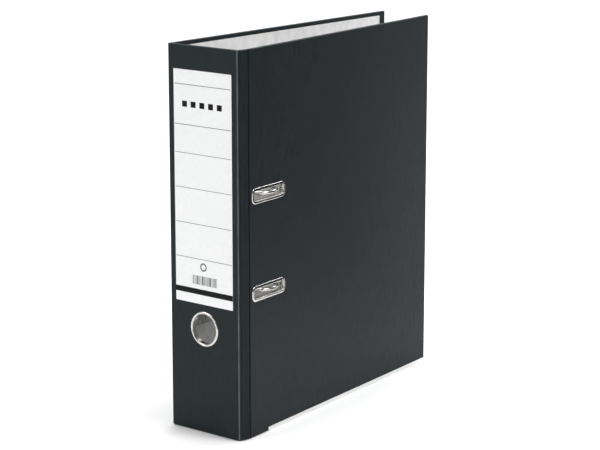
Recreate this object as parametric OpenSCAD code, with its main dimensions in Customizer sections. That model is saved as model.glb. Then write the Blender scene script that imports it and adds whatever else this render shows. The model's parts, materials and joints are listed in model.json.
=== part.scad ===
// Lever arch file for A4 sheets, standing upright and closed.
// X runs across the spine from the back cover to the front cover, Y from the spine to the
// front edges of the covers, Z up. The covers are covered boards 2.8 mm thick.

/* [Covers] */
// Height of the covers and spine, over the edge protectors
file_h = 318; // [300:1:330]
// Depth of the covers from the spine's outer face
file_d = 285; // [275:1:300]
// Width of the spine, from the back cover's outer face to the front corner crease
spine_w = 73.5; // [72:0.1:75]
// Width of the narrow strip between the two front creases
strip_w = 8.2; // [7:0.1:9]
// How far the strip leans outwards, degrees
strip_lean = 16; // [14:0.5:18]
// How far the closed front cover leans inwards, degrees
cover_lean = 5; // [4:0.25:6]
// Thickness of the greyboard
board_t = 2.2; // [1.8:0.1:2.4]
// Thickness of the cover paper and of the lining
paper_t = 0.3; // [0.2:0.05:0.35]
// Cover paper turned in along the top and bottom edges
turn_in = 3.5; // [3:0.5:8]
// Cover paper turned in along the front edges
turn_in_front = 8; // [6:1:15]

/* [Spine fittings] */
// Width of the paper label
label_w = 61; // [50:1:64]
// Height of the paper label
label_h = 190; // [150:1:192]
// Height of the label's lower edge
label_z = 108.3; // [106:0.1:112]
// Bore of the thumb ring
thumb_bore_d = 25; // [22:0.5:26]
// Width of the thumb ring's rim
thumb_rim_w = 2.2; // [1.5:0.1:3]
// Height of the thumb ring's centre
thumb_z = 88; // [80:1:90]

/* [Front cover fittings] */
// Distance of the slotted eyelets from the front corner
eyelet_start = 14.3; // [13.5:0.1:15]
// Length of the slotted eyelets
eyelet_l = 46; // [45:0.5:47]
// Height of the slotted eyelets
eyelet_h = 13; // [12:0.5:14]
// Width of their rim
eyelet_rim = 2.6; // [2:0.1:2.8]
// Edge protector's start, measured from the front corner
protector_y = 36; // [30:1:60]
// Height of the edge protector's flanges
protector_h = 3.6; // [3:0.1:5]

/* [Mechanism] */
// Distance between the two arches, centre to centre
arch_pitch = 80; // [80:1:80]
// Distance of the bow's base rod from the spine's outer face
rod_y = 25; // [24.5:0.25:25.5]
// Radius of an arch's round top
arch_r = 17; // [16:0.25:17]
// Diameter of the bow's wire
wire_d = 3.2; // [3:0.1:3.2]
// Height of the arches' tops over the back cover's lining
arch_top = 71.5; // [70:0.25:71.5]
// Outside diameter of the fixed posts
post_d = 5; // [4.6:0.1:5]
// Length of the base plate
plate_l = 160; // [156:1:164]
// Length of the lever from its pivot to its tip
lever_l = 86; // [80:1:88]

/* [Hidden] */
$fn = 64;
eps = 0.5;

// Covers. Every panel is drawn in its own frame: local Y runs along it from its hinge axis,
// local X points out of the file, and the axis lies in the middle of the thickness. Before
// it is centred, the file has x = 0 at the back cover's outer face and y = 0 at the spine's.
cover_t = board_t + 2 * paper_t;
half_t = cover_t / 2;
hinge_gap = 0.05;
board_z = 0.4;
spine_axis_l = spine_w - cover_t;
crease_c = [half_t, half_t];
crease_a = crease_c + [spine_axis_l, 0];
crease_b = crease_a + strip_w * [sin(strip_lean), cos(strip_lean)];
front_l = file_d - crease_b[1];
back_l = file_d - crease_c[1];
panel_start = half_t + hinge_gap;

// Fittings
label_t = 0.15;
label_corner = 0.5;
spine_mid = spine_axis_l / 2;
thumb_flange_t = 0.8;
thumb_wall = 0.5;
washer_t = 0.5;
thumb_r = thumb_bore_d / 2;
eyelet_y = eyelet_start - crease_b[1] + eyelet_l / 2;
eyelet_flange_t = 0.7;
eyelet_wall = 0.5;
eyelet_corner = 4.6;
opening_l = eyelet_l - 2 * eyelet_rim;
opening_h = eyelet_h - 2 * eyelet_rim;
opening_corner = eyelet_corner - eyelet_rim;
protector_t = 0.4;

// Mechanism, where X is the height over the back cover's lining
mechanism_lift = 0.6;
mid_z = file_h / 2 + mechanism_lift;
arch_zs = [mid_z - arch_pitch / 2, mid_z + arch_pitch / 2];
plate_t = 1;
wire_r = wire_d / 2;
rod_x = 5.6;
bend_r = 4;
post_y = rod_y + 2 * arch_r;
arch_cx = arch_top - wire_r - arch_r;
arch_cy = rod_y + arch_r;
post_top = 46;
running = 0.05;
lug_w = 6;
lug_zs = [arch_zs[0] + 6, arch_zs[1] - 11];
pivot_x = 9.25;
pivot_z = mid_z + 18.4;
pivot_r = 1.4;
roller_off = [2.9, 2.8];
roller_r = 2.4;
roller_w = 4;
roller_pin_r = 0.9;
lever_y = 8.8;
lever_half_w = 4.6;
sheet_t = 1;
ear_inner = 2.3;
tongue_w = 6;
tongue_t = 1.6;
tongue_len = 17.5;
bow_turn = 20;
rivet_ys = [21, 66];
rivet_zs = [mid_z - plate_l / 2 + 7, mid_z + plate_l / 2 - 7];
rivet_r = 1.6;
rivet_head = 0.9;
plate_y0 = 16;
plate_y1 = 72;
bar_y = post_y;
bar_w = 17;
bar_l = 150;
bar_t = 2.2;
bar_x = 2.4;
bar_rib = 1.6;
bar_hole_r = 3.1;
slide_travel = 4;
slide_w = 10;
slide_l = 104;
slide_t = 1.2;
slide_play = 0.1;
slide_x = bar_x + bar_t + slide_play;
post_slot_r = 2.8;
stud_r = 1.5;
stud_zs = [mid_z - 20, mid_z + 20];

// The whole file's box, which sets the origin under its middle
eyelet_out = half_t + eyelet_flange_t;
x_low = -rivet_head;
x_high = crease_b[0] + eyelet_out * cos(cover_lean)
    - (eyelet_y - eyelet_l / 2) * sin(cover_lean);
y_low = -thumb_flange_t;
y_high = file_d;

module centred() {
    translate([-(x_low + x_high) / 2, -(y_low + y_high) / 2, 0]) children();
}

// Frames of the four panels
module on_spine() {
    centred() translate(concat(crease_c, 0)) rotate([0, 0, -90]) children();
}
module on_strip() {
    centred() translate(concat(crease_a, 0)) rotate([0, 0, -strip_lean]) children();
}
module on_front() {
    centred() translate(concat(crease_b, 0)) rotate([0, 0, cover_lean]) children();
}
module on_back() {
    centred() translate(concat(crease_c, 0)) mirror([1, 0, 0]) children();
}
module on_lining() {
    centred() translate([cover_t, 0, 0]) children();
}

// A box from one corner to the other
module block(low, high) {
    translate(low) cube(high - low);
}

// A pin along X, Y or Z from a start point
module pin_x(p, r, l) {
    translate(p) rotate([0, 90, 0]) cylinder(r = r, h = l);
}
module pin_y(p, r, l) {
    translate(p) rotate([-90, 0, 0]) cylinder(r = r, h = l);
}
module pin_z(p, r, l) {
    translate(p) cylinder(r = r, h = l);
}

// A plate with rounded corners in the Y-Z plane, from x = low to high, centred on (y, z)
module rounded_plate(low, high, y, z, l, h, r) {
    for (sy = [-1, 1], sz = [-1, 1])
        pin_x([low, y + sy * (l / 2 - r), z + sz * (h / 2 - r)], r, high - low);
    block([low, y - l / 2, z - h / 2 + r], [high, y + l / 2, z + h / 2 - r]);
    block([low, y - l / 2 + r, z - h / 2], [high, y + l / 2 - r, z + h / 2]);
}

// Layers of a panel between local y = y0 and y1. round0 and round1 add the rounded knuckle
// that the neighbouring panel turns around.
module layer(r, y0, y1, z0, z1, round0, round1) {
    block([-r, y0, z0], [r, y1, z1]);
    if (round0) pin_z([0, y0, z0], r, z1 - z0);
    if (round1) pin_z([0, y1, z0], r, z1 - z0);
}
module panel_board(y0, y1, round0 = false, round1 = false) {
    layer(board_t / 2, y0, y1, board_z + paper_t, file_h - paper_t, round0, round1);
}
module panel_lining(y0, y1) {
    block([-half_t, y0, board_z + turn_in], [-board_t / 2, y1, file_h - turn_in]);
}
// The cover paper wraps the board's top and bottom edges, and its front edge where wrap is true
module panel_paper(y0, y1, round0 = false, round1 = false, wrap = false) {
    edge = wrap ? paper_t : 0;
    front_inset = wrap ? turn_in_front : 0;
    open0 = round0 ? 0 : eps;
    open1 = (round1 || wrap) ? 0 : eps;
    difference() {
        layer(half_t, y0, y1, board_z, file_h, round0, round1);
        layer(board_t / 2, y0 - open0, y1 - edge + open1, board_z + paper_t, file_h - paper_t,
            round0, round1);
        block([-half_t - eps, y0 - open0, board_z + turn_in],
            [-board_t / 2, y1 - front_inset + open1, file_h - turn_in]);
    }
}

// Spine
module thumb_hole() {
    pin_x([-half_t - eps, spine_mid, thumb_z], thumb_r + thumb_wall, cover_t + 2 * eps);
}
module spine_board() {
    color("#8d8a82") on_spine() difference() {
        panel_board(0, spine_axis_l, round0 = true, round1 = true);
        thumb_hole();
    }
}
module spine_paper() {
    color("#2c3134") on_spine() difference() {
        panel_paper(0, spine_axis_l, round0 = true, round1 = true);
        thumb_hole();
    }
}
module spine_lining() {
    color("#eceae6") on_spine() difference() {
        panel_lining(0, spine_axis_l);
        thumb_hole();
    }
}
module spine_label() {
    color("#f6f6f4") on_spine()
        rounded_plate(half_t, half_t + label_t, spine_mid, label_z + label_h / 2,
            label_w, label_h, label_corner);
}
module thumb_ring() {
    tube_l = cover_t + washer_t;
    bead = thumb_rim_w / 2;
    color("#c9c8c4") on_spine() translate([half_t, spine_mid, thumb_z]) rotate([0, 90, 0])
        difference() {
            union() {
                cylinder(r = thumb_r + thumb_rim_w, h = thumb_flange_t / 2);
                cylinder(r1 = thumb_r + thumb_rim_w, r2 = thumb_r + bead, h = thumb_flange_t);
                translate([0, 0, -tube_l]) cylinder(r = thumb_r + thumb_wall, h = tube_l);
            }
            translate([0, 0, -tube_l - eps])
                cylinder(r = thumb_r, h = tube_l + thumb_flange_t + 2 * eps);
        }
}
module thumb_ring_washer() {
    color("#b9b8b4") on_spine() difference() {
        pin_x([-half_t - washer_t, spine_mid, thumb_z], thumb_r + thumb_rim_w, washer_t);
        pin_x([-half_t - washer_t - eps, spine_mid, thumb_z], thumb_r + thumb_wall,
            washer_t + 2 * eps);
    }
}

// Hinge strip between the two front creases
module strip_board() {
    color("#8d8a82") on_strip() panel_board(panel_start, strip_w, round1 = true);
}
module strip_paper() {
    color("#2c3134") on_strip() panel_paper(panel_start, strip_w, round1 = true);
}
module strip_lining() {
    color("#eceae6") on_strip() panel_lining(panel_start, strip_w);
}

// Front cover
module slot_hole(low, high, z, grow) {
    rounded_plate(low, high, eyelet_y, z, opening_l + 2 * grow, opening_h + 2 * grow,
        opening_corner + grow);
}
module slot_cuts() {
    for (z = arch_zs) slot_hole(-half_t - eps, half_t + eps, z, eyelet_wall);
}
module front_board() {
    color("#8d8a82") on_front() difference() {
        panel_board(panel_start, front_l - paper_t);
        slot_cuts();
    }
}
module front_paper() {
    color("#2c3134") on_front() difference() {
        panel_paper(panel_start, front_l, wrap = true);
        slot_cuts();
    }
}
module front_lining() {
    color("#eceae6") on_front() difference() {
        panel_lining(panel_start, front_l - turn_in_front);
        slot_cuts();
    }
}
// An eyelet pressed from sheet: a rim on the cover and a wall through it
module slot_eyelet(z) {
    wall_low = -half_t - washer_t;
    color("#c9c8c4") on_front() difference() {
        union() {
            rounded_plate(half_t, half_t + eyelet_flange_t, eyelet_y, z,
                eyelet_l, eyelet_h, eyelet_corner);
            slot_hole(wall_low, half_t, z, eyelet_wall);
        }
        slot_hole(wall_low - eps, half_t + eyelet_flange_t + eps, z, 0);
    }
}
module slot_backing(z) {
    color("#b9b8b4") on_front() difference() {
        rounded_plate(-half_t - washer_t, -half_t, eyelet_y, z, eyelet_l, eyelet_h, eyelet_corner);
        slot_hole(-half_t - washer_t - eps, -half_t + eps, z, eyelet_wall);
    }
}
module upper_slot_eyelet() { slot_eyelet(arch_zs[1]); }
module lower_slot_eyelet() { slot_eyelet(arch_zs[0]); }
module upper_slot_backing() { slot_backing(arch_zs[1]); }
module lower_slot_backing() { slot_backing(arch_zs[0]); }

// A metal channel folded over a cover's lower edge
module edge_protector(y0, y1) {
    color("#cfcfcc") difference() {
        block([-half_t - protector_t, y0, board_z - protector_t],
            [half_t + protector_t, y1, board_z - protector_t + protector_h]);
        block([-half_t, y0 - eps, board_z],
            [half_t, y1 + eps, board_z + protector_h]);
    }
}
module front_edge_protector() {
    on_front() edge_protector(protector_y - crease_b[1], front_l);
}

// Back cover
module rivet_holes(low, high) {
    for (y = rivet_ys, z = rivet_zs) pin_x([low, y, z], rivet_r, high - low);
}
module back_board() {
    color("#8d8a82") difference() {
        on_back() panel_board(panel_start, back_l - paper_t);
        on_lining() rivet_holes(-cover_t - eps, eps);
    }
}
module back_paper() {
    color("#2c3134") difference() {
        on_back() panel_paper(panel_start, back_l, wrap = true);
        on_lining() rivet_holes(-cover_t - eps, eps);
    }
}
module back_lining() {
    color("#eceae6") difference() {
        on_back() panel_lining(panel_start, back_l - turn_in_front);
        on_lining() rivet_holes(-cover_t - eps, eps);
    }
}
module back_edge_protector() {
    on_back() edge_protector(protector_y - crease_c[1], back_l);
}

// Base plate: a sheet with two bearing lugs for the bow's rod and two ears for the lever
module base_plate() {
    plate_corner = 5;
    apron_y0 = lever_y - lever_half_w + 0.6;
    apron_y1 = plate_y0 + 6;
    apron_h = 9;
    lug_r = 2.6;
    ear_r = 2.2;
    ear_foot = 6;
    ear_neck = 2;
    color("#bdbcb8") on_lining() difference() {
        union() {
            rounded_plate(0, plate_t, (plate_y0 + plate_y1) / 2, mid_z, plate_y1 - plate_y0,
                plate_l, plate_corner);
            block([0, apron_y0, pivot_z - apron_h], [plate_t, apron_y1, pivot_z + apron_h]);
            for (z = lug_zs) {
                block([plate_t / 2, rod_y - lug_r, z], [rod_x, rod_y + lug_r, z + lug_w]);
                pin_z([rod_x, rod_y, z], lug_r, lug_w);
            }
            for (s = [-1, 1]) {
                y = lever_y + s * (ear_inner + sheet_t / 2) - sheet_t / 2;
                block([plate_t / 2, y, pivot_z - ear_foot],
                    [pivot_x - ear_neck, y + sheet_t, pivot_z + ear_neck / 2]);
                block([plate_t / 2, y, pivot_z - ear_foot], [pivot_x, y + sheet_t, pivot_z]);
                pin_y([pivot_x, y, pivot_z], ear_r, sheet_t);
            }
        }
        rivet_holes(-eps, plate_t + eps);
        for (z = lug_zs) pin_z([rod_x, rod_y, z - eps], wire_r + running, lug_w + 2 * eps);
        pin_y([pivot_x, lever_y - 2 * lever_half_w, pivot_z], pivot_r, 4 * lever_half_w);
    }
}
module mechanism_rivets() {
    head_r = 3.6;
    inner_r = 3.2;
    inner_t = 0.8;
    crown = 2 / 3;
    color("#c9c8c4") on_lining() for (y = rivet_ys, z = rivet_zs) {
        translate([-cover_t, y, z]) rotate([0, -90, 0])
            cylinder(r1 = head_r, r2 = crown * head_r, h = rivet_head);
        pin_x([-cover_t, y, z], rivet_r, cover_t + plate_t);
        translate([plate_t, y, z]) rotate([0, 90, 0])
            cylinder(r1 = inner_r, r2 = crown * inner_r, h = inner_t);
    }
}

// A fixed post: a tube on a foot, with a shallow cone in its top for the arch's tip
module post(z) {
    foot_r = 4.5;
    foot_t = 0.8;
    bore_r = 1;
    bore_d = 8;
    mouth_r = 2.2;
    mouth_d = 0.9;
    tube_l = post_top - plate_t;
    color("#d2d1ce") on_lining() translate([plate_t, post_y, z]) rotate([0, 90, 0]) difference() {
        union() {
            cylinder(r = foot_r, h = foot_t);
            cylinder(r = post_d / 2, h = tube_l);
        }
        translate([0, 0, tube_l - bore_d]) cylinder(r = bore_r, h = bore_d + eps);
        translate([0, 0, tube_l - mouth_d]) cylinder(r1 = bore_r, r2 = mouth_r, h = mouth_d);
    }
}
module upper_post() { post(arch_zs[1]); }
module lower_post() { post(arch_zs[0]); }
module lever_pivot_pin() {
    head_t = 0.6;
    head_r = 2.2;
    head_mid = lever_half_w + 0.1 + head_t / 2;
    color("#b9b8b4") on_lining() {
        pin_y([pivot_x, lever_y - head_mid, pivot_z], pivot_r, 2 * head_mid);
        for (s = [-1, 1])
            pin_y([pivot_x, lever_y + s * head_mid - head_t / 2, pivot_z], head_r, head_t);
    }
}

// The bow: one wire bent into two arches and the rod that joins and carries them
module arch(z, side) {
    tail_end = post_top + 0.1;
    tip_l = 0.75;
    tip_r = 0.7;
    shoulder = 0.1;
    pin_x([rod_x + bend_r, rod_y, z], wire_r, arch_cx - rod_x - bend_r);
    translate([arch_cx, arch_cy, z]) rotate([0, 0, -90])
        rotate_extrude(angle = 180) translate([arch_r, 0]) circle(r = wire_r);
    pin_x([tail_end, post_y, z], wire_r, arch_cx - tail_end);
    translate([tail_end, post_y, z]) rotate([0, -90, 0])
        cylinder(r1 = wire_r - shoulder, r2 = tip_r, h = tip_l);
    translate([rod_x + bend_r, rod_y, z + side * bend_r]) rotate([90, 0, 0])
        rotate([0, 0, side > 0 ? 180 : 90])
            rotate_extrude(angle = 90) translate([bend_r, 0]) circle(r = wire_r);
}
module wire_bow() {
    color("#d2d1ce") on_lining() {
        arch(arch_zs[0], 1);
        arch(arch_zs[1], -1);
        pin_z([rod_x, rod_y, arch_zs[0] + bend_r], wire_r, arch_pitch - 2 * bend_r);
    }
}
module bow_tongue() {
    hub_r = 3.2;
    hub_lift = 2.4;
    color("#bdbcb8") on_lining() translate([rod_x, rod_y, pivot_z + hub_lift])
        rotate([0, 0, bow_turn / 2]) difference() {
            union() {
                cylinder(r = hub_r, h = tongue_w);
                block([-tongue_t / 2, -tongue_len, 0], [tongue_t / 2, 0, tongue_w]);
            }
            translate([0, 0, -eps]) cylinder(r = wire_r, h = tongue_w + 2 * eps);
        }
}

// Lever: two cheeks and a web folded from sheet, with a finger loop at the free end
module lever() {
    hub_r = 2.3;
    boss_r = 1.7;
    arm_turn = 46;
    arm_half_w = 1.5;
    arm_l = 4;
    cheek_end = 58;
    web_low = 3.2;
    web_high = 4.2;
    web_start = 5;
    loop_low = web_low - 0.8;
    loop_r = lever_half_w;
    hole_r = loop_r - 2.1;
    hole_l = loop_r + 8;
    loop_z = loop_r - lever_l;
    color("#c9c8c4") on_lining() translate([pivot_x, lever_y, pivot_z]) difference() {
        union() {
            for (s = [-1, 1]) {
                y = s * (lever_half_w - sheet_t / 2) - sheet_t / 2;
                pin_y([0, y, 0], hub_r, sheet_t);
                pin_y([roller_off[0], y, roller_off[1]], boss_r, sheet_t);
                translate([0, y, 0]) rotate([0, arm_turn, 0])
                    block([-arm_half_w, 0, 0], [arm_half_w, sheet_t, arm_l]);
                block([-hub_r, y, -cheek_end], [web_high, y + sheet_t, 0]);
            }
            block([web_low, -lever_half_w, -cheek_end], [web_high, lever_half_w, -web_start]);
            block([loop_low, -lever_half_w, loop_z], [web_high, lever_half_w, -cheek_end]);
            pin_x([loop_low, 0, loop_z], loop_r, web_high - loop_low);
        }
        pin_y([0, -2 * lever_half_w, 0], pivot_r + running, 4 * lever_half_w);
        pin_y([roller_off[0], -2 * lever_half_w, roller_off[1]], roller_pin_r, 4 * lever_half_w);
        for (z = [loop_z, loop_z + hole_l])
            pin_x([loop_low - eps, 0, z], hole_r, web_high - loop_low + 2 * eps);
        block([loop_low - eps, -hole_r, loop_z], [web_high + eps, hole_r, loop_z + hole_l]);
    }
}
module roller_pin() {
    color("#b9b8b4") on_lining()
        pin_y([pivot_x + roller_off[0], lever_y - lever_half_w, pivot_z + roller_off[1]],
            roller_pin_r, 2 * lever_half_w);
}
module lever_roller() {
    color("#e0dfdc") on_lining()
        translate([pivot_x + roller_off[0], lever_y - roller_w / 2, pivot_z + roller_off[1]])
            rotate([-90, 0, 0]) difference() {
                cylinder(r = roller_r, h = roller_w);
                translate([0, 0, -eps]) cylinder(r = roller_pin_r + running, h = roller_w + 2 * eps);
            }
}

// Compressor: a bar on the posts that holds the sheets down, with a slide that locks it
module compressor_bar() {
    bar_corner = 4;
    rib_half = 0.7;
    rib_half_l = bar_l / 2 - 6;
    color("#26282a") on_lining() difference() {
        union() {
            rounded_plate(bar_x, bar_x + bar_t, bar_y, mid_z, bar_w, bar_l, bar_corner);
            for (s = [-1, 1]) {
                y = bar_y + s * (bar_w / 2 - rib_half);
                block([bar_x, y - rib_half, mid_z - rib_half_l],
                    [bar_x + bar_t + bar_rib, y + rib_half, mid_z + rib_half_l]);
            }
        }
        for (z = arch_zs) pin_x([bar_x - eps, bar_y, z], bar_hole_r, bar_t + 2 * eps);
    }
}
module guide_studs() {
    head_r = 2.8;
    head_t = 0.8;
    head_x = slide_x + slide_t + slide_play;
    color("#c9c8c4") on_lining() for (z = stud_zs) {
        pin_x([bar_x + bar_t, bar_y, z], stud_r, head_x - bar_x - bar_t);
        pin_x([head_x, bar_y, z], head_r, head_t);
    }
}
module slide_slot(z, r) {
    for (dz = [-slide_travel, 0]) pin_x([slide_x - eps, bar_y, z + dz], r, slide_t + 2 * eps);
    block([slide_x - eps, bar_y - r, z - slide_travel], [slide_x + slide_t + eps, bar_y + r, z]);
}
module compressor_slide() {
    slide_corner = 3;
    tab_h = 5;
    tab_half = 0.6;
    stud_play = 0.15;
    color("#b5b4b0") on_lining() difference() {
        union() {
            rounded_plate(slide_x, slide_x + slide_t, bar_y, mid_z, slide_w, slide_l,
                slide_corner);
            block([slide_x, bar_y - slide_w / 2, mid_z - tab_half],
                [slide_x + tab_h, bar_y + slide_w / 2, mid_z + tab_half]);
        }
        for (z = arch_zs) slide_slot(z, post_slot_r);
        for (z = stud_zs) slide_slot(z, stud_r + stud_play);
    }
}

spine_board();
spine_paper();
spine_lining();
spine_label();
thumb_ring();
thumb_ring_washer();
strip_board();
strip_paper();
strip_lining();
front_board();
front_paper();
front_lining();
front_edge_protector();
upper_slot_eyelet();
lower_slot_eyelet();
upper_slot_backing();
lower_slot_backing();
back_board();
back_paper();
back_lining();
back_edge_protector();
base_plate();
mechanism_rivets();
upper_post();
lower_post();
lever_pivot_pin();
wire_bow();
bow_tongue();
lever();
roller_pin();
lever_roller();
compressor_bar();
guide_studs();
compressor_slide();
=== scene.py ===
"""Looks of a lever arch file that stands closed: covered boards, fittings and lever mechanism.

Lengths are in millimetres up to the meshes. Lamps, card and camera are placed in metres.
"""

import json
import math
import random

import bmesh
import bpy
from mathutils import Matrix, Vector


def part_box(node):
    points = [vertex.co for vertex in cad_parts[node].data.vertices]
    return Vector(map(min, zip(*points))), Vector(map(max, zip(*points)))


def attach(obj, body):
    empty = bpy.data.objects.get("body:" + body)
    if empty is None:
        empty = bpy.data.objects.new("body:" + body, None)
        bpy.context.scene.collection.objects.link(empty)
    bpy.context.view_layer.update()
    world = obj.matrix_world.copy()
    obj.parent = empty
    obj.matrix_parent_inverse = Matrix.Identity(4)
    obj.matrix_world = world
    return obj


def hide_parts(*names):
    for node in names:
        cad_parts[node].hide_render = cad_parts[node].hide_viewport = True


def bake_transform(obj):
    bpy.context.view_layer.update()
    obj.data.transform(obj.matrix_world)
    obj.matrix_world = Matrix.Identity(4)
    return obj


MM = 0.001

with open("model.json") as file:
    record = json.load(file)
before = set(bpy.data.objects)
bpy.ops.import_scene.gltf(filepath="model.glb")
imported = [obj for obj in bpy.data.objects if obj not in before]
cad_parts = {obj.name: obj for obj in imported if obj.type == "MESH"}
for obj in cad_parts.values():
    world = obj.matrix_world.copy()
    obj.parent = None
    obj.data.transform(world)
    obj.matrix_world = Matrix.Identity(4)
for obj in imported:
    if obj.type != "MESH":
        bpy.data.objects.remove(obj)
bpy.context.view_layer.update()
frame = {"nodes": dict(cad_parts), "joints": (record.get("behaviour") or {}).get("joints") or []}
scene = bpy.context.scene


# ---------------------------------------------------------------- the frame, in millimetres
def mm_box(node):
    """Lowest and highest corner of a CAD node."""
    low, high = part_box(node)
    return low / MM, high / MM


def joint_axis(name):
    """Foot of an upright hinge axis on the floor plane."""
    found = next(j for j in frame["joints"] if j["name"] == name)
    x, y = found["pos_m"][:2]
    return Vector((x, y, 0)) / MM


def run_of(node):
    """Unit direction from the near end to the far end of a straight channel."""
    points = sorted((v.co for v in frame["nodes"][node].data.vertices), key=lambda p: p.y)
    half = len(points) // 2
    run = sum(points[-half:], Vector()) - sum(points[:half], Vector())
    run.z = 0
    return run.normalized()


class Panel:
    """A covered board: its hinge axis, the way it runs from there, and the way out of the file."""

    def __init__(self, axis, run, out, length, body):
        self.axis = axis
        self.run = run
        self.out = out
        self.length = length
        self.body = body

    def at(self, s, h, z):
        """Point s along the panel, h outwards from its middle plane and z up."""
        return self.axis + self.run * s + self.out * h + Vector((0, 0, z))


def right_of(run):
    """Direction a quarter turn clockwise from a level one, seen from above."""
    return Vector((run.y, -run.x, 0))


AXIS_BACK = joint_axis("back_cover_crease")
AXIS_CORNER = joint_axis("front_corner_crease")
AXIS_GROOVE = joint_axis("front_cover_crease")
X_AXIS = Vector((1, 0, 0))
Y_AXIS = Vector((0, 1, 0))

spine_box = mm_box("spine_paper")
LOW = spine_box[0].z
HIGH = spine_box[1].z
HALF = AXIS_CORNER.y - spine_box[0].y
STRIP_RUN = (AXIS_GROOVE - AXIS_CORNER).normalized()
FRONT_RUN = run_of("front_edge_protector")


def reach(node, axis, run):
    """How far a node reaches from an axis along a direction."""
    return max((v.co / MM - axis).dot(run) for v in frame["nodes"][node].data.vertices)


spine = Panel(AXIS_BACK, X_AXIS, -Y_AXIS, (AXIS_CORNER - AXIS_BACK).length, "spine")
strip = Panel(AXIS_CORNER, STRIP_RUN, right_of(STRIP_RUN), (AXIS_GROOVE - AXIS_CORNER).length,
              "hinge_strip")
front = Panel(AXIS_GROOVE, FRONT_RUN, right_of(FRONT_RUN),
              reach("front_paper", AXIS_GROOVE, FRONT_RUN), "front_cover")
back = Panel(AXIS_BACK, Y_AXIS, -X_AXIS, reach("back_paper", AXIS_BACK, Y_AXIS), "back_cover")


# ---------------------------------------------------------------- mesh helpers
SHARP = 38  # degrees between faces, from which an edge is drawn sharp


def rounded_rect(x0, x1, y0, y1, r, steps):
    """Points round a rectangle with rounded corners, anticlockwise from its left side."""
    points = []
    corners = ((x0 + r, y0 + r, 180), (x1 - r, y0 + r, 270), (x1 - r, y1 - r, 0),
               (x0 + r, y1 - r, 90))
    for cx, cy, start in corners:
        for i in range(steps + 1):
            angle = math.radians(start + 90 * i / steps)
            points.append((cx + r * math.cos(angle), cy + r * math.sin(angle)))
    return points


def circle(radius, sides):
    """Points round a circle, anticlockwise."""
    turn = 2 * math.pi / sides
    return [(radius * math.cos(i * turn), radius * math.sin(i * turn)) for i in range(sides)]


def loft(bm, rings, closed=False, slot=0, wear_and_painted_light_values=None):
    """Faces over a row of rings, given in mm. A row that isn't closed gets a cap on each end.

    Values for each point, ring by ring, are kept on the mesh. Above zero they are edge wear and a
    painted highlight along the bends; below zero they are painted shade in the groove.
    """
    layer = bm.verts.layers.float.new("wear_and_painted_light") if wear_and_painted_light_values else None
    rows = [[bm.verts.new(p * MM) for p in ring] for ring in rings]
    if wear_and_painted_light_values:
        for row, values in zip(rows, wear_and_painted_light_values):
            for vert, value in zip(row, values):
                vert[layer] = value
    pairs = list(zip(rows, rows[1:]))
    faces = []
    if closed:
        pairs.append((rows[-1], rows[0]))
    else:
        faces += [bm.faces.new(rows[0][::-1]), bm.faces.new(rows[-1])]
    for near, far in pairs:
        for i in range(len(near)):
            j = (i + 1) % len(near)
            faces.append(bm.faces.new((near[i], near[j], far[j], far[i])))
    for face in faces:
        face.material_index = slot


def finish(name, bm, materials, sharp=SHARP):
    """Makes an object from a bmesh, smooth except where faces meet at more than sharp degrees."""
    bmesh.ops.recalc_face_normals(bm, faces=bm.faces)
    mesh = bpy.data.meshes.new(name)
    bm.to_mesh(mesh)
    bm.free()
    for item in materials:
        mesh.materials.append(item)
    obj = bpy.data.objects.new(name, mesh)
    scene.collection.objects.link(obj)
    smooth(obj, sharp)
    return obj


def smooth(obj, sharp):
    """Smooth shading between the sharp edges, weighted by the size of the faces."""
    obj.data.shade_smooth()
    obj.data.set_sharp_from_angle(angle=math.radians(sharp))
    if "weighted" not in obj.modifiers:
        weighted = obj.modifiers.new("weighted", "WEIGHTED_NORMAL")
        weighted.keep_sharp = True


def cut(obj, cutters):
    """Takes the closed rings of each cutter out of obj."""
    for rings in cutters:
        bm = bmesh.new()
        loft(bm, rings)
        tool = finish("cutter", bm, [])
        boolean = obj.modifiers.new("hole", "BOOLEAN")
        boolean.operation = "DIFFERENCE"
        boolean.solver = "EXACT"
        boolean.object = tool
        obj.modifiers.remove(obj.modifiers["weighted"])
        graph = bpy.context.evaluated_depsgraph_get()
        mesh = bpy.data.meshes.new_from_object(obj.evaluated_get(graph))
        obj.modifiers.clear()
        obj.data = mesh
        bpy.data.objects.remove(tool)
        smooth(obj, SHARP)


def sweep(path, radii, sides):
    """Rings round a path, with a radius for each of its points."""
    rings = []
    side = None
    for i, point in enumerate(path):
        ahead = (path[min(i + 1, len(path) - 1)] - path[max(i - 1, 0)]).normalized()
        side = ahead.orthogonal() if side is None else side - ahead * side.dot(ahead)
        side.normalize()
        up = ahead.cross(side)
        rings.append([point + (side * u + up * v) for u, v in circle(radii[i], sides)])
    return rings


def arc(centre, u, v, radius, start, end, steps):
    """Points of an arc in the plane of the unit vectors u and v, angles in degrees."""
    points = []
    for i in range(steps + 1):
        angle = math.radians(start + (end - start) * i / steps)
        points.append(centre + (u * math.cos(angle) + v * math.sin(angle)) * radius)
    return points


def turned(centre, axis, profile, sides):
    """Rings of a turned part: profile points are (distance along the axis, radius)."""
    u = axis.orthogonal().normalized()
    v = axis.cross(u)
    return [[centre + axis * d + u * a + v * b for a, b in circle(r, sides)] for d, r in profile]


# ---------------------------------------------------------------- materials
# Noise keeps mostly between these two values.
NOISE_LOW = 0.3
NOISE_HIGH = 0.7


def links_for(mat):
    tree = mat.node_tree
    return tree.nodes, tree.links


def in_noise_span(nodes, links, noise, low, high):
    """Output of a new node that maps the usual span of a noise to the span from low to high."""
    span = nodes.new("ShaderNodeMapRange")
    span.inputs["From Min"].default_value = NOISE_LOW
    span.inputs["From Max"].default_value = NOISE_HIGH
    span.inputs["To Min"].default_value = low
    span.inputs["To Max"].default_value = high
    links.new(noise.outputs["Fac"], span.inputs["Value"])
    return span.outputs["Result"]


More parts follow.
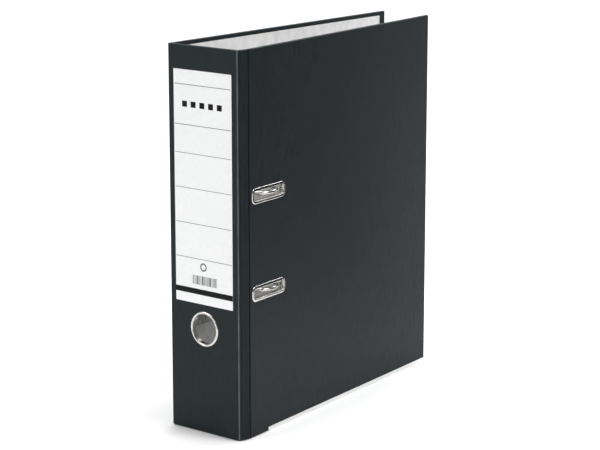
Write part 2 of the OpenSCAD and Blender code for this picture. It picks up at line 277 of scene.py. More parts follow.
def mixed_in(nodes, links, kind, base, value, share):
    """Output of a new node that mixes a fixed value into base, by the output share."""
    mix = nodes.new("ShaderNodeMix")
    mix.data_type = kind
    mix.inputs["B"].default_value = value
    links.new(share, mix.inputs["Factor"])
    links.new(base, mix.inputs["A"])
    return mix.outputs["Result"]


def surface(name, dark, light, stretch, rough, spread, bump=0.0, bump_grain=3.0, metallic=0.0,
            specular=0.5):
    """A material whose colour and roughness follow stretched noise, with a finer relief.

    stretch is the noise's scale along x, y and z, bump the depth of the relief in mm, and
    bump_grain how much finer the relief is than the colour.
    """
    mat = bpy.data.materials.new(name)
    mat.use_nodes = True
    nodes, links = links_for(mat)
    shader = nodes["Principled BSDF"]
    shader.inputs["Metallic"].default_value = metallic
    shader.inputs["Specular IOR Level"].default_value = specular
    place = nodes.new("ShaderNodeTexCoord")
    mapping = nodes.new("ShaderNodeMapping")
    mapping.inputs["Scale"].default_value = stretch
    links.new(place.outputs["Object"], mapping.inputs["Vector"])
    noise = nodes.new("ShaderNodeTexNoise")
    noise.inputs["Scale"].default_value = 1.0
    noise.inputs["Detail"].default_value = 5
    links.new(mapping.outputs["Vector"], noise.inputs["Vector"])
    ramp = nodes.new("ShaderNodeValToRGB")
    ramp.color_ramp.elements[0].position = NOISE_LOW
    ramp.color_ramp.elements[0].color = (*dark, 1)
    ramp.color_ramp.elements[1].position = NOISE_HIGH
    ramp.color_ramp.elements[1].color = (*light, 1)
    links.new(noise.outputs["Fac"], ramp.inputs["Fac"])
    links.new(ramp.outputs["Color"], shader.inputs["Base Color"])
    gloss = in_noise_span(nodes, links, noise, rough - spread, rough + spread)
    links.new(gloss, shader.inputs["Roughness"])
    if bump:
        fine = nodes.new("ShaderNodeTexNoise")
        fine.inputs["Scale"].default_value = bump_grain
        fine.inputs["Detail"].default_value = 3
        links.new(mapping.outputs["Vector"], fine.inputs["Vector"])
        relief = nodes.new("ShaderNodeBump")
        relief.inputs["Strength"].default_value = 1.0
        relief.inputs["Distance"].default_value = bump * MM
        links.new(fine.outputs["Fac"], relief.inputs["Height"])
        links.new(relief.outputs["Normal"], shader.inputs["Normal"])
    return mat


def add_wear_and_painted_light(mat, wear_and_highlight_colour, painted_shade_colour, painted_shade_rough):
    """Paints the mesh's stored value: lighter in patches above zero, for edge wear and a painted
    highlight along the bends; darker and duller below zero, as painted shade in the groove.
    """
    nodes, links = links_for(mat)
    shader = nodes["Principled BSDF"]
    base = shader.inputs["Base Color"].links[0].from_socket
    gloss = shader.inputs["Roughness"].links[0].from_socket
    wear_and_painted_light = nodes.new("ShaderNodeAttribute")
    wear_and_painted_light.attribute_name = "wear_and_painted_light"
    patches = nodes.new("ShaderNodeTexNoise")
    patches.inputs["Scale"].default_value = 60
    patches.inputs["Detail"].default_value = 6
    links.new(nodes["Texture Coordinate"].outputs["Object"], patches.inputs["Vector"])
    # Above zero: lighter patches for edge wear and a painted highlight on the bends.
    wear_and_highlight_share = nodes.new("ShaderNodeMath")
    wear_and_highlight_share.operation = "MULTIPLY"
    links.new(wear_and_painted_light.outputs["Fac"], wear_and_highlight_share.inputs[0])
    links.new(in_noise_span(nodes, links, patches, 0.45, 1.0), wear_and_highlight_share.inputs[1])
    # Below zero the value becomes painted shade: darker, duller paper in the groove.
    painted_shade = nodes.new("ShaderNodeMapRange")
    painted_shade.inputs["From Min"].default_value = 0
    painted_shade.inputs["From Max"].default_value = -0.6
    links.new(wear_and_painted_light.outputs["Fac"], painted_shade.inputs["Value"])
    share = painted_shade.outputs["Result"]
    lighter = mixed_in(nodes, links, "RGBA", base, (*wear_and_highlight_colour, 1), wear_and_highlight_share.outputs[0])
    darker = mixed_in(nodes, links, "RGBA", lighter, (*painted_shade_colour, 1), share)
    links.new(darker, shader.inputs["Base Color"])
    links.new(mixed_in(nodes, links, "FLOAT", gloss, painted_shade_rough, share),
              shader.inputs["Roughness"])


COOL = (0.72, 0.93, 1.0, 1)
cover_paper = surface("cover_paper", (0.0065, 0.008, 0.0095), (0.012, 0.015, 0.017),
                      stretch=(420, 420, 90), rough=0.5, spread=0.1, bump=0.055, bump_grain=3.2,
                      specular=0.19)
cover_paper.node_tree.nodes["Principled BSDF"].inputs["Specular Tint"].default_value = COOL
# Light patches for edge wear and for a painted highlight on the bends; near-black, dull painted
# shade in the groove.
add_wear_and_painted_light(cover_paper, wear_and_highlight_colour=(0.15, 0.165, 0.17), painted_shade_colour=(0.0015, 0.0018, 0.002),
         painted_shade_rough=0.95)
lining_paper = surface("lining_paper", (0.66, 0.665, 0.66), (0.8, 0.8, 0.795),
                       stretch=(160, 160, 110), rough=0.6, spread=0.04, bump=0.012, bump_grain=9,
                       specular=0.3)
label_paper = surface("label_paper", (0.86, 0.87, 0.87), (0.9, 0.9, 0.9),
                      stretch=(300, 300, 300), rough=0.5, spread=0.03, bump=0.006, bump_grain=6,
                      specular=0.3)
ink_black = surface("ink_black", (0.006, 0.006, 0.007), (0.012, 0.012, 0.013),
                    stretch=(700, 700, 700), rough=0.6, spread=0.06, bump=0.004, bump_grain=4,
                    specular=0.08)
ink_grey = surface("ink_grey", (0.04, 0.04, 0.04), (0.07, 0.07, 0.07),
                   stretch=(700, 700, 700), rough=0.55, spread=0.05, bump=0.004, bump_grain=4,
                   specular=0.3)
ink_pale = surface("ink_pale", (0.16, 0.16, 0.16), (0.22, 0.22, 0.22),
                   stretch=(700, 700, 700), rough=0.55, spread=0.05, bump=0.004, bump_grain=4,
                   specular=0.3)
greyboard = surface("greyboard", (0.2, 0.19, 0.17), (0.3, 0.29, 0.26),
                    stretch=(500, 500, 500), rough=0.85, spread=0.05, bump=0.05, bump_grain=3,
                    specular=0.2)
nickel_trim = surface("nickel_trim", (0.5, 0.49, 0.47), (0.64, 0.63, 0.61),
                      stretch=(180, 180, 180), rough=0.2, spread=0.05, bump=0.006, bump_grain=5,
                      metallic=1.0)
plated_sheet = surface("plated_sheet", (0.38, 0.375, 0.36), (0.54, 0.53, 0.515),
                       stretch=(900, 900, 30), rough=0.3, spread=0.07, bump=0.006, bump_grain=2.4,
                       metallic=1.0)
plated_wire = surface("plated_wire", (0.46, 0.455, 0.44), (0.6, 0.59, 0.575),
                      stretch=(500, 500, 500), rough=0.2, spread=0.05, bump=0.004, bump_grain=4,
                      metallic=1.0)
black_plastic = surface("black_plastic", (0.014, 0.015, 0.016), (0.028, 0.029, 0.03),
                        stretch=(400, 400, 400), rough=0.42, spread=0.06, bump=0.02, bump_grain=5,
                        specular=0.4)
edge_metal = surface("edge_metal", (0.8, 0.8, 0.79), (0.88, 0.88, 0.87),
                     stretch=(120, 120, 700), rough=0.32, spread=0.06, bump=0.004, bump_grain=3,
                     metallic=1.0)
floor_paint = surface("floor_paint", (0.9, 0.9, 0.9), (0.94, 0.94, 0.94),
                      stretch=(3, 3, 3), rough=0.9, spread=0.03, specular=0.1)
card_paint = surface("card_paint", (0.01, 0.01, 0.01), (0.015, 0.015, 0.015),
                     stretch=(3, 3, 3), rough=0.9, spread=0.03, specular=0.1)


# ---------------------------------------------------------------- covered boards
# Edges of the covered boards.
EDGE_R = 0.7
EDGE_STEPS = 4
EDGE_RUB = 0.3
END_TURN = 84  # degrees of a rounded end; a full quarter would fold its last ring flat
# Creases: how far behind the hinge axis the inner side turns, and in how many steps.
FOLD_DEPTH = 3.0
FOLD_STEPS = 12
# Lining: how far it stands out of the paper, its thickness, and the border it leaves free.
LINING_OUT = 0.1
LINING_T = 0.3
LINING_R = 0.1
SHEET_STEPS = 2
TURN_IN = 3.5
TURN_IN_FRONT = 8.0
# Seams between panels and crease pieces, by their distance from the crease.
BACK_SEAM = 7.5
CORNER_SEAM = 5.0
STRIP_SEAM = strip.length / 2
FRONT_SEAM = 6.5
# Boards inside the paper, with their ends by their distance from the creases and free edges.
PAPER_T = 0.35
BOARD_R = 0.15
COVER_BOARD_START = 5.2
COVER_BOARD_GAP = 0.4
SPINE_BOARD_GAP = 3.2
STRIP_BOARD = (3.1, 5.1)
TRIM_STEPS = 8


class Fold:
    """A crease between panel a, which runs away from it one way, and panel b on its other side.

    dent gives the depth of a line pressed into panel b, by distance from the crease. One value
    sets the painted highlight along the bend, broken up like wear, and one the painted shade in
    the pressed line.
    """

    def __init__(self, axis, a_run, a_out, a_reach, b_run, b_out, b_reach, steps, dent=None,
                 wear_and_painted_light=0.0, painted_groove_shade=0.0):
        self.axis = axis
        self.a = (a_run, a_out, a_reach)
        self.b = (b_run, b_out, b_reach)
        self.turn = a_out.angle(b_out)
        self.steps = steps
        self.dent = dent
        self.wear_and_painted_light = wear_and_painted_light
        self.painted_groove_shade = painted_groove_shade

    def wear_and_painted_light_values(self):
        """How bright each station's painted highlight is along the bend, or where below zero how
        dark the painted shade in the pressed line is.
        """
        bend = [self.wear_and_painted_light * math.sin(math.pi * i / FOLD_STEPS) ** 2 for i in range(1, FOLD_STEPS)]
        flat = [0.0] * (self.steps + 1)
        if not self.painted_groove_shade:
            return flat + bend + flat
        depths = [self.dent(self.b[2] * i / self.steps) for i in range(self.steps + 1)]
        return flat + bend + [-self.painted_groove_shade * depth / max(depths) for depth in depths]

    def line(self, h):
        """Points of the surface at height h, from the seam in panel a to the seam in panel b."""
        a_run, a_out, a_reach = self.a
        b_run, b_out, b_reach = self.b
        setback = 0 if h > 0 else FOLD_DEPTH * math.tan(self.turn / 2)
        centre = self.axis
        radius = h
        if h <= 0:
            centre = self.axis + a_run * setback - a_out * FOLD_DEPTH
            radius = FOLD_DEPTH + h
        points = []
        for i in range(self.steps + 1):
            far = a_reach + (setback - a_reach) * i / self.steps
            points.append(self.axis + a_run * far + a_out * h)
        for i in range(1, FOLD_STEPS):
            out = Matrix.Rotation(self.turn * i / FOLD_STEPS, 3, "Z") @ a_out
            points.append(centre + out * radius)
        for i in range(self.steps + 1):
            far = setback + (b_reach - setback) * i / self.steps
            lift = h - self.dent(far) if self.dent and h > 0 else h
            points.append(self.axis + b_run * far + b_out * lift)
        return points


def pressed_line(at, width, depth):
    """Depth of a pressed line with a rounded floor, by distance from the crease."""
    return lambda s: depth * math.exp(-(((s - at) / width) ** 2))


# The bends of the back and corner creases carry a painted highlight, strongest at the corner.
back_fold = Fold(AXIS_BACK, back.run, back.out, BACK_SEAM, spine.run, spine.out, BACK_SEAM,
                 steps=10, wear_and_painted_light=0.5)
corner_fold = Fold(AXIS_CORNER, -spine.run, spine.out, CORNER_SEAM, strip.run, strip.out,
                   STRIP_SEAM, steps=14, dent=pressed_line(at=0.9, width=0.4, depth=0.3), wear_and_painted_light=1.0)
# The groove's pressed line is painted darker and duller: painted shade.
groove_fold = Fold(AXIS_GROOVE, -strip.run, strip.out, strip.length - STRIP_SEAM, front.run,
                   front.out, FRONT_SEAM, steps=36,
                   dent=pressed_line(at=1.25, width=0.6, depth=1.0), painted_groove_shade=1.0)


def outline_rubs(steps):
    """How much each point of a rounded outline is rubbed: most in the middle of a corner."""
    corner = [EDGE_RUB * math.sin(math.pi * i / steps) for i in range(steps + 1)]
    return corner * 4


def section_ring(inner, outer, outline, low, high):
    """One ring: outline points are (height, z), and the inner and outer lines give the place."""
    ring = []
    for h, z in outline:
        share = (h - low) / (high - low)
        point = inner.lerp(outer, share)
        ring.append(Vector((point.x, point.y, z)))
    return ring


def fold_piece(name, fold, low, high, z0, z1, radius, steps, mat):
    """A piece of a cover round a crease, worn along its edges, with the fold's painted highlight
    on the bend and painted shade in a pressed line.
    """
    outline = rounded_rect(low, high, z0, z1, radius, steps)
    pairs = zip(fold.line(low), fold.line(high))
    outwards = [(h - low) / (high - low) for h, z in outline]
    wear_and_painted_light_values = []
    for wear_and_painted_light in fold.wear_and_painted_light_values():
        if wear_and_painted_light < 0:
            wear_and_painted_light_values.append([wear_and_painted_light] * len(outline))
        else:
            wear_and_painted_light_values.append([max(e, wear_and_painted_light * share) for e, share in zip(outline_rubs(steps), outwards)])
    bm = bmesh.new()
    loft(bm, [section_ring(inner, outer, outline, low, high) for inner, outer in pairs],
         wear_and_painted_light_values=wear_and_painted_light_values)
    return finish(name, bm, [mat])


def panel_piece(name, panel, s0, s1, low, high, z0, z1, radius, steps, mat, round_end=False):
    """A straight plate of a panel, with its far end rounded where that is free."""
    stops = [(s0, 0)]
    if round_end:
        for i in range(steps + 1):
            angle = math.radians(END_TURN * i / steps)
            stops.append((s1 - radius * (1 - math.sin(angle)), radius * (1 - math.cos(angle))))
    else:
        stops.append((s1, 0))
    rings = []
    wear_and_painted_light_values = []
    for s, inset in stops:
        outline = rounded_rect(low + inset, high - inset, z0 + inset, z1 - inset,
                               radius - inset, steps)
        rings.append([panel.at(s, h, z) for h, z in outline])
        rim = EDGE_RUB * min(1, 2 * inset / radius)
        wear_and_painted_light_values.append([max(rim, e) for e in outline_rubs(steps)])
    bm = bmesh.new()
    loft(bm, rings, wear_and_painted_light_values=wear_and_painted_light_values)
    return finish(name, bm, [mat])


def ride_on(obj, body, slot, *nodes):
    """Puts a piece on its body and hides the CAD nodes it stands for; the material slot is not
    used.
    """
    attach(obj, body)
    if nodes:
        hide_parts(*nodes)


def bend_with(obj, a, b, start, end, slot, *nodes):
    """Bakes a piece's placement into its mesh and hides the nodes it stands for; the two bodies,
    start, end and the material slot are not used.
    """
    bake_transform(obj)
    if nodes:
        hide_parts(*nodes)


ring_box = mm_box("thumb_ring")
upper_box = mm_box("upper_slot_eyelet")
lower_box = mm_box("lower_slot_eyelet")
THUMB_S = ((ring_box[0] + ring_box[1]) / 2 - AXIS_BACK).x
THUMB_Z = ((ring_box[0] + ring_box[1]) / 2).z
THUMB_RIM = 2.2
THUMB_WALL = 0.5
THUMB_SIDES = 128
THUMB_R = (ring_box[1].x - ring_box[0].x) / 2 - THUMB_RIM
SLOT_ZS = [((low + high) / 2).z for low, high in (upper_box, lower_box)]
SLOT_RIM = 2.6
SLOT_WALL = 0.5
SLOT_CORNER = 2.0
SLOT_END = reach("upper_slot_backing", AXIS_GROOVE, FRONT_RUN)
SLOT_START = -reach("upper_slot_backing", AXIS_GROOVE, -FRONT_RUN)
SLOT_S = (SLOT_START + SLOT_END) / 2
SLOT_L = SLOT_END - SLOT_START - 2 * SLOT_RIM
SLOT_H = upper_box[1].z - upper_box[0].z - 2 * SLOT_RIM
CUT_REACH = 6.0
FIT = 0.04


def slot_outline(grow):
    """Outline of a slot's bore, made larger all round."""
    return rounded_rect(-SLOT_L / 2 - grow, SLOT_L / 2 + grow, -SLOT_H / 2 - grow,
                        SLOT_H / 2 + grow, SLOT_CORNER + grow, TRIM_STEPS)


def through(panel, s, z, outline):
    """Two rings of a cutter that goes right through a panel."""
    return [[panel.at(s + u, h, z + v) for u, v in outline] for h in (-CUT_REACH, CUT_REACH)]


thumb_cut = [through(spine, THUMB_S, THUMB_Z, circle(THUMB_R + THUMB_WALL + FIT, 96))]
slot_cuts = [through(front, SLOT_S, z, slot_outline(SLOT_WALL + FIT)) for z in SLOT_ZS]


def make_covers():
    """Cover paper, lining and board of each panel, and the folds between them."""
    spine_end = spine.length - CORNER_SEAM
    lining = (-HALF - LINING_OUT, -HALF - LINING_OUT + LINING_T)
    lining_z = (LOW + TURN_IN, HIGH - TURN_IN)
    skin_args = (-HALF, HALF, LOW, HIGH, EDGE_R, EDGE_STEPS, cover_paper)
    sheet_args = (*lining, *lining_z, LINING_R, SHEET_STEPS, lining_paper)

    skins = {
        "back": panel_piece("back_cover_paper", back, BACK_SEAM, back.length, *skin_args,
                            round_end=True),
        "spine": panel_piece("spine_cover_paper", spine, BACK_SEAM, spine_end, *skin_args),
        "front": panel_piece("front_cover_paper", front, FRONT_SEAM, front.length, *skin_args,
                             round_end=True),
    }
    sheets = {
        "back": panel_piece("back_cover_lining", back, BACK_SEAM,
                            back.length - TURN_IN_FRONT, *sheet_args),
        "spine": panel_piece("spine_inner_lining", spine, BACK_SEAM, spine_end, *sheet_args),
        "front": panel_piece("front_cover_lining", front, FRONT_SEAM,
                             front.length - TURN_IN_FRONT, *sheet_args),
    }
    board_out = HALF - PAPER_T
    board_z = (LOW + PAPER_T, HIGH - PAPER_T)
    board_args = (-board_out, board_out, *board_z, BOARD_R, SHEET_STEPS, greyboard)
    boards = {
        "back": panel_piece("back_cover_board", back, COVER_BOARD_START,
                            back.length - COVER_BOARD_GAP, *board_args),
        "spine": panel_piece("spine_inner_board", spine, SPINE_BOARD_GAP,
                             spine.length - SPINE_BOARD_GAP, *board_args),
        "front": panel_piece("front_cover_board", front, COVER_BOARD_START,
                             front.length - COVER_BOARD_GAP, *board_args),
        "strip": panel_piece("strip_inner_board", strip, *STRIP_BOARD, *board_args),
    }
    for group, kind, slot in ((skins, "paper", "cover_paper"), (sheets, "lining", "lining_paper"),
                              (boards, "board", "greyboard")):
        cut(group["spine"], thumb_cut)
        cut(group["front"], slot_cuts)
        for key, panel in (("back", back), ("spine", spine), ("front", front), ("strip", strip)):
            if key in group:
                ride_on(group[key], panel.body, slot, f"{key}_{kind}")

    # Each fold lies between two bodies, with so many mm before its axis and so many behind it; the
    # pieces are not bent with the bodies.
    folds = (
        ("back_crease", back_fold, "back_cover", "spine", 6.0, 6.0),
        ("corner_crease", corner_fold, "spine", "hinge_strip", 3.0, 3.0),
        ("groove_crease", groove_fold, "hinge_strip", "front_cover", 3.7, 5.0),
    )
    for name, fold, a, b, a_soft, b_soft in folds:
        start = fold.axis + fold.a[0] * a_soft
        end = fold.axis + fold.b[0] * b_soft
        skin = fold_piece(f"{name}_paper", fold, *skin_args)
        sheet = fold_piece(f"{name}_lining", fold, *sheet_args)
        is_strip = name == "groove_crease"
        bend_with(skin, a, b, start, end, "cover_paper", *["strip_paper"] * is_strip)
        bend_with(sheet, a, b, start, end, "lining_paper", *["strip_lining"] * is_strip)


# ---------------------------------------------------------------- metal trim of the covers
WASHER_T = 0.5
COLLAR_PAST_WASHER = 0.05
CREST_W = 0.4


def collar(name, panel, s, z, outline, section, mat):
    """A collar round a hole. Section points are (distance out from the bore, height)."""
    bm = bmesh.new()
    loft(bm, [[panel.at(s + u, h, z + v) for u, v in outline(n)] for n, h in section], closed=True)
    return finish(name, bm, [mat])


def rolled_section(rim, rise, wall, depth, lip):
    """Section of a pressed collar: bore wall, rounded rim on the outer face, wall's outside."""
    points = [(0.0, -depth), (0.0, HALF + lip)]
    quarter = [math.radians(90 * i / TRIM_STEPS) for i in range(1, TRIM_STEPS + 1)]
    crest_end = rise + CREST_W
    for angle in quarter:
        points.append((rise * (1 - math.cos(angle)), HALF + lip + (rise - lip) * math.sin(angle)))
    for angle in quarter:
        points.append((crest_end + (rim - crest_end) * math.sin(angle),
                       HALF + rise * math.cos(angle)))
    points += [(rim, HALF - FIT), (wall, HALF - FIT), (wall, -depth)]
    return points


def washer_section(inner, outer):
    """Section of a pressed washer on the lining side, with rounded edges."""
    low = -HALF - LINING_OUT - WASHER_T
    return rounded_rect(inner, outer, low, -HALF, WASHER_T * 0.45, 3)


def ring_outline(grow):
    """Outline of the thumb ring's bore, made larger all round."""
    return circle(THUMB_R + grow, THUMB_SIDES)


def make_trim():
    """Thumb ring, slot eyelets and edge protectors, with the washers behind the collars."""
    depth = HALF + LINING_OUT + WASHER_T + COLLAR_PAST_WASHER
    ring = collar("thumb_ring_trim", spine, THUMB_S, THUMB_Z, ring_outline,
                  rolled_section(THUMB_RIM, 0.8, THUMB_WALL, depth, 0.2), nickel_trim)
    ride_on(ring, "spine", "nickel_trim", "thumb_ring")
    washer = collar("thumb_ring_washer_trim", spine, THUMB_S, THUMB_Z, ring_outline,
                    washer_section(THUMB_WALL + FIT, THUMB_RIM), nickel_trim)
    ride_on(washer, "spine", "nickel_trim", "thumb_ring_washer")
    for name, z in zip(("upper", "lower"), SLOT_ZS):
        eyelet = collar(f"{name}_slot_trim", front, SLOT_S, z, slot_outline,
                        rolled_section(SLOT_RIM, 0.7, SLOT_WALL, depth, 0.15), nickel_trim)
        ride_on(eyelet, "front_cover", "nickel_trim", f"{name}_slot_eyelet")
        backing = collar(f"{name}_slot_back_plate", front, SLOT_S, z, slot_outline,
                         washer_section(SLOT_WALL + FIT, SLOT_RIM), nickel_trim)
        ride_on(backing, "front_cover", "nickel_trim", f"{name}_slot_backing")
    for key, panel in (("front", front), ("back", back)):
        node = f"{key}_edge_protector"
        start = -reach(node, panel.axis, -panel.run)
        ride_on(edge_channel(f"{key}_edge_channel", panel, start, panel.length), panel.body,
                "nickel_trim", node)


def edge_channel(name, panel, s0, s1):
    """A sheet folded round the lower edge of a cover, with its free rims rolled in a little."""
    node_low, node_high = mm_box("front_edge_protector")
    sheet = LOW - node_low.z
    top = node_high.z
    outer = HALF + sheet
    bend = 1.1
    rim_drop = 0.25
    rim_in = 0.12
    chamfer = 0.05
    outline = [(-HALF, top - rim_drop), (-HALF - rim_in, top), (-outer + chamfer, top - chamfer)]
    for side, start in ((-1, 180), (1, 270)):
        for i in range(TRIM_STEPS + 1):
            angle = math.radians(start + 90 * i / TRIM_STEPS)
            outline.append((side * (outer - bend) + bend * math.cos(angle),
                            LOW - sheet + bend + bend * math.sin(angle)))
    outline += [(outer - chamfer, top - chamfer), (HALF + rim_in, top), (HALF, top - rim_drop)]
    inner_bend = bend - sheet
    for side, start in ((1, 360), (-1, 270)):
        for i in range(TRIM_STEPS + 1):
            angle = math.radians(start - 90 * i / TRIM_STEPS)
            outline.append((side * (HALF - inner_bend) + inner_bend * math.cos(angle),
                            LOW + inner_bend + inner_bend * math.sin(angle)))
    bm = bmesh.new()
    loft(bm, [[panel.at(s, h, z) for h, z in outline] for s in (s0, s1)])
    return finish(name, bm, [edge_metal], 50)


# ---------------------------------------------------------------- label
LABEL_T = 0.15
LABEL_EDGE = 0.04
INK_T = 0.02
INKS = (ink_black, ink_pale, ink_grey)
BLACK, PALE, GREY = range(3)
RULES = ((178.1, GREY), (145.7, GREY), (122.7, PALE), (94.4, PALE), (65.7, PALE), (37.2, PALE))
RULE_MARGIN = 0.8
RULE_HALF = 0.24
BAND = (7.7, 12.3)
BLOCKS = 5
BLOCK_START = 9.0
BLOCK_PITCH = 9.2
BLOCK_W = 5.2
BLOCK_ROW = (160.0, 164.8)
BARS = (18.4, 44.0)
BAR_ROW = (16.0, 23.4)
MARK_AT = (30.0, 31.0)
MARK_R = (2.4, 3.4)


def make_label():
    """The spine's label, and its print: plain shapes, placed from the label's lower left."""
    low, high = mm_box("spine_label")
    left = low.x - AXIS_BACK.x
    width = high.x - low.x
    height = high.z - low.z
    paper_top = HALF + LABEL_T
    ink_top = paper_top + INK_T
    sheet = [[spine.at(left + u, h, low.z + v) for u, v in
              rounded_rect(inset, width - inset, inset, height - inset, 0.5, 4)]
             for h, inset in ((HALF, 0), (paper_top - LABEL_EDGE, 0), (paper_top, LABEL_EDGE))]
    bm = bmesh.new()
    loft(bm, sheet)
    ride_on(finish("label_sheet", bm, [label_paper]), "spine", "label_paper", "spine_label")

    bm = bmesh.new()

    def printed(u0, u1, v0, v1, ink):
        corners = ((u0, v0), (u1, v0), (u1, v1), (u0, v1))
        loft(bm, [[spine.at(left + u, h, low.z + v) for u, v in corners]
                  for h in (paper_top, ink_top)], slot=ink)

    for up, ink in RULES:
        printed(RULE_MARGIN, width - RULE_MARGIN, up - RULE_HALF, up + RULE_HALF, ink)
    printed(0, width, *BAND, BLACK)
    for i in range(BLOCKS):
        block = BLOCK_START + i * BLOCK_PITCH
        printed(block, block + BLOCK_W, *BLOCK_ROW, BLACK)
    rng = random.Random(7)
    bar = BARS[0]
    while bar < BARS[1]:
        bar_w = rng.choice((0.35, 0.35, 0.6, 0.95))
        printed(bar, bar + bar_w, *BAR_ROW, rng.choice((BLACK, BLACK, GREY)))
        bar += bar_w + rng.choice((0.35, 0.5, 0.7))
    inner, outer = MARK_R
    mark = [[spine.at(left + MARK_AT[0] + u, h, low.z + MARK_AT[1] + v) for u, v in circle(r, 48)]
            for r, h in ((inner, paper_top), (inner, ink_top), (outer, ink_top),
                         (outer, paper_top))]
    loft(bm, mark, closed=True, slot=BLACK)
    ride_on(finish("label_print", bm, INKS), "spine", "label_paper")


# ---------------------------------------------------------------- mechanism
BEVEL = 0.22
WELD = 1e-6
ROUND_SIDES = 40


def keep_node(node, mat, bevel=BEVEL):
    """Gives a CAD node its material, softened edges and clean shading."""
    obj = frame["nodes"][node]
    if not obj.material_slots:
        obj.data.materials.append(mat)
    for place in obj.material_slots:
        place.material = mat
    weld = obj.modifiers.new("weld", "WELD")
    weld.merge_threshold = WELD
    soft = obj.modifiers.new("soft", "BEVEL")
    soft.width = bevel * MM
    soft.segments = 3
    soft.limit_method = "ANGLE"
    soft.angle_limit = math.radians(40)
    soft.harden_normals = True
    weighted = obj.modifiers.new("weighted", "WEIGHTED_NORMAL")
    weighted.keep_sharp = True


WIRE_R = 1.6
BEND_R = 4.0
TIP_L = 0.75
TIP_R = 0.7
TIP_GAP = 0.1


def make_bow():
    """One wire: a rod, a bend at each end of it, and an arch that ends in a tapered tip."""
    low, high = mm_box("wire_bow")
    x_rod = low.x + WIRE_R
    y_rod = low.y + WIRE_R
    y_tip = high.y - WIRE_R
    z_low = low.z + WIRE_R
    z_high = high.z - WIRE_R
    arch_r = (y_tip - y_rod) / 2
    x_arch = high.x - WIRE_R - arch_r
    tip = mm_box("upper_post")[1].x + TIP_GAP

    def half_bow(z, toward):
        along = Vector((0, 0, toward))
        points = [Vector((tip - TIP_L, y_tip, z)), Vector((tip, y_tip, z))]
        centre = Vector((x_arch, (y_rod + y_tip) / 2, z))
        points += arc(centre, Y_AXIS, X_AXIS, arch_r, 0, 180, 28)
        corner = Vector((x_rod + BEND_R, y_rod, z + toward * BEND_R))
        points += arc(corner, -along, X_AXIS, BEND_R, 0, -90, 10)
        return points

    path = half_bow(z_low, 1) + half_bow(z_high, -1)[::-1]
    radii = [WIRE_R] * len(path)
    radii[0] = radii[-1] = TIP_R
    bm = bmesh.new()
    loft(bm, sweep(path, radii, 24))
    ride_on(finish("arch_wire", bm, [plated_wire]), "bow", "plated_wire", "wire_bow")


POST_R = 2.5
BORE_R = 1.0
BORE_DEPTH = 8.0


def make_posts():
    """Two tubular posts, each with a flared mouth for the arch's tip and a flanged foot."""
    for name in ("upper_post", "lower_post"):
        low, high = mm_box(name)
        centre = Vector((low.x, (low.y + high.y) / 2, (low.z + high.z) / 2))
        foot_r = (high.y - low.y) / 2
        top = high.x - low.x
        bore = [(top - BORE_DEPTH, 0.4), (top - BORE_DEPTH, BORE_R), (top - 0.9, BORE_R)]
        mouth = [(top, 2.2), (top, 2.42), (top - 0.12, POST_R)]
        fillet = [(1.7, POST_R), (1.1, POST_R + 0.25), (0.8, POST_R + 0.8)]
        flange = [(0.72, foot_r - 0.3), (0.5, foot_r), (0, foot_r)]
        bm = bmesh.new()
        loft(bm, turned(centre, X_AXIS, bore + mouth + fillet + flange, ROUND_SIDES))
        piece = finish(f"{name}_tube", bm, [plated_wire])
        ride_on(piece, "back_cover", "plated_wire", name)


def make_rivets():
    """Four rivets, each with a domed head on the cover and a smaller one on the base plate."""
    low, high = mm_box("mechanism_rivets")
    head_r = 3.6
    head_rise = 0.9
    shank_r = 1.6
    foot_r = 3.2
    foot_rise = 0.8
    grip = high.x - foot_rise - low.x - head_rise
    dome = [math.radians(a) for a in range(6, 91, 12)]
    foot = [math.radians(a) for a in range(12, 85, 12)]
    profile = [(-head_rise * math.cos(a), head_r * math.sin(a)) for a in dome]
    profile += [(0.02, head_r), (0.02, shank_r), (grip, shank_r), (grip, foot_r)]
    profile += [(grip + foot_rise * math.sin(a), foot_r * math.cos(a)) for a in foot]
    bm = bmesh.new()
    for y in (low.y + head_r, high.y - head_r):
        for z in (low.z + head_r, high.z - head_r):
            centre = Vector((low.x + head_rise, y, z))
            loft(bm, turned(centre, X_AXIS, profile, ROUND_SIDES))
    piece = finish("domed_rivets", bm, [plated_sheet])
    ride_on(piece, "back_cover", "plated_sheet", "mechanism_rivets")


def make_mechanism():
    """Wire, posts and rivets are made anew; the pressed and turned parts are the CAD nodes."""
    make_bow()
    make_posts()
    make_rivets()
    for node in ("base_plate", "bow_tongue", "lever", "compressor_slide"):
        keep_node(node, plated_sheet)
    for node in ("lever_pivot_pin", "roller_pin", "guide_studs", "lever_roller"):
        keep_node(node, plated_wire)
    keep_node("compressor_bar", black_plastic, 0.35)


# ---------------------------------------------------------------- floor, light and camera
def make_floor():
    """A white floor that runs on past the picture."""
    bm = bmesh.new()
    bmesh.ops.create_grid(bm, x_segments=1, y_segments=1, size=12)
    floor = finish("floor", bm, [floor_paint])


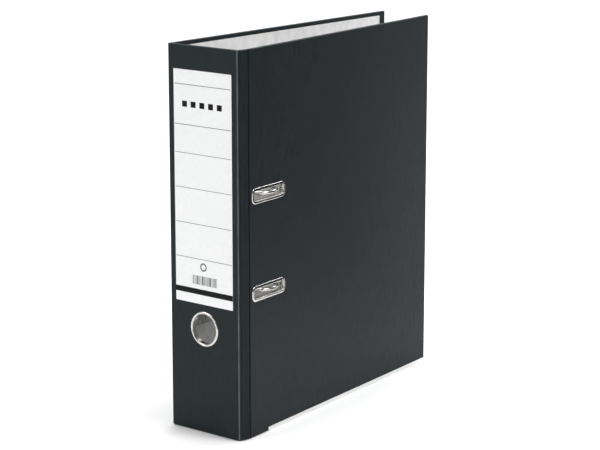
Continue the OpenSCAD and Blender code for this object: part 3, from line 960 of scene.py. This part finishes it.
def area_light(name, place, target, size, power):
    """A rectangular lamp that points at its target."""
    data = bpy.data.lights.new(name, "AREA")
    data.shape = "RECTANGLE"
    data.size, data.size_y = size
    data.energy = power
    lamp = bpy.data.objects.new(name, data)
    scene.collection.objects.link(lamp)
    lamp.location = place
    aim = Vector(target) - Vector(place)
    lamp.rotation_euler = aim.to_track_quat("-Z", "Y").to_euler()


def make_light():
    """A soft white studio: the backdrop lamp keeps the floor behind the file white."""
    world = bpy.data.worlds.new("studio")
    world.use_nodes = True
    scene.world = world
    sky = world.node_tree.nodes["Background"]
    sky.inputs["Color"].default_value = (1, 1, 1, 1)
    sky.inputs["Strength"].default_value = 0.25
    area_light("key", (-1.3, -2.0, 1.1), (0, -0.14, 0.16), (1.0, 1.2), 22)
    area_light("top", (0.1, 0.1, 2.3), (0.05, 0, 0.2), (1.2, 1.2), 30)
    area_light("inside", (1.3, 0.2, 1.6), (0, 0, 0.3), (0.8, 0.8), 20)
    area_light("backdrop", (-1.9, 2.3, 2.8), (-1.9, 2.3, 0), (3.5, 3.5), 100)
    area_light("rim", (0.35, 1.7, 1.35), (0, -0.1, 0.2), (1.0, 0.6), 12)
    make_card((0.31, 0.16, 0.23), (0.42, 0.44), 61)


def make_card(place, size, heading):
    """A dark card beside the file that only its glossy surfaces see, as in a product studio."""
    bm = bmesh.new()
    bmesh.ops.create_grid(bm, x_segments=1, y_segments=1, size=0.5)
    card = finish("dark_card", bm, [card_paint])
    card.scale = (*size, 1)
    card.rotation_euler = (math.radians(90), 0, math.radians(heading + 90))
    card.location = place
    card.visible_camera = False
    card.visible_diffuse = False
    card.visible_shadow = False


# Solved for, so that the corners of the file fall where the photo has them.
CAMERA_PLACE = (1.0783, -1.3467, 0.5334)
LOOK_DOWN = 12.53
HEADING = 39.12
LENS = 124.03


def make_camera():
    data = bpy.data.cameras.new("camera")
    data.sensor_width = 36
    data.lens = LENS
    data.clip_start = 0.05
    camera = bpy.data.objects.new("camera", data)
    scene.collection.objects.link(camera)
    camera.location = CAMERA_PLACE
    camera.rotation_euler = (math.radians(90 - LOOK_DOWN), 0, math.radians(HEADING))
    scene.camera = camera


make_covers()
make_trim()
make_label()
make_mechanism()
make_floor()
make_light()
make_camera()
scene.view_settings.view_transform = "Standard"
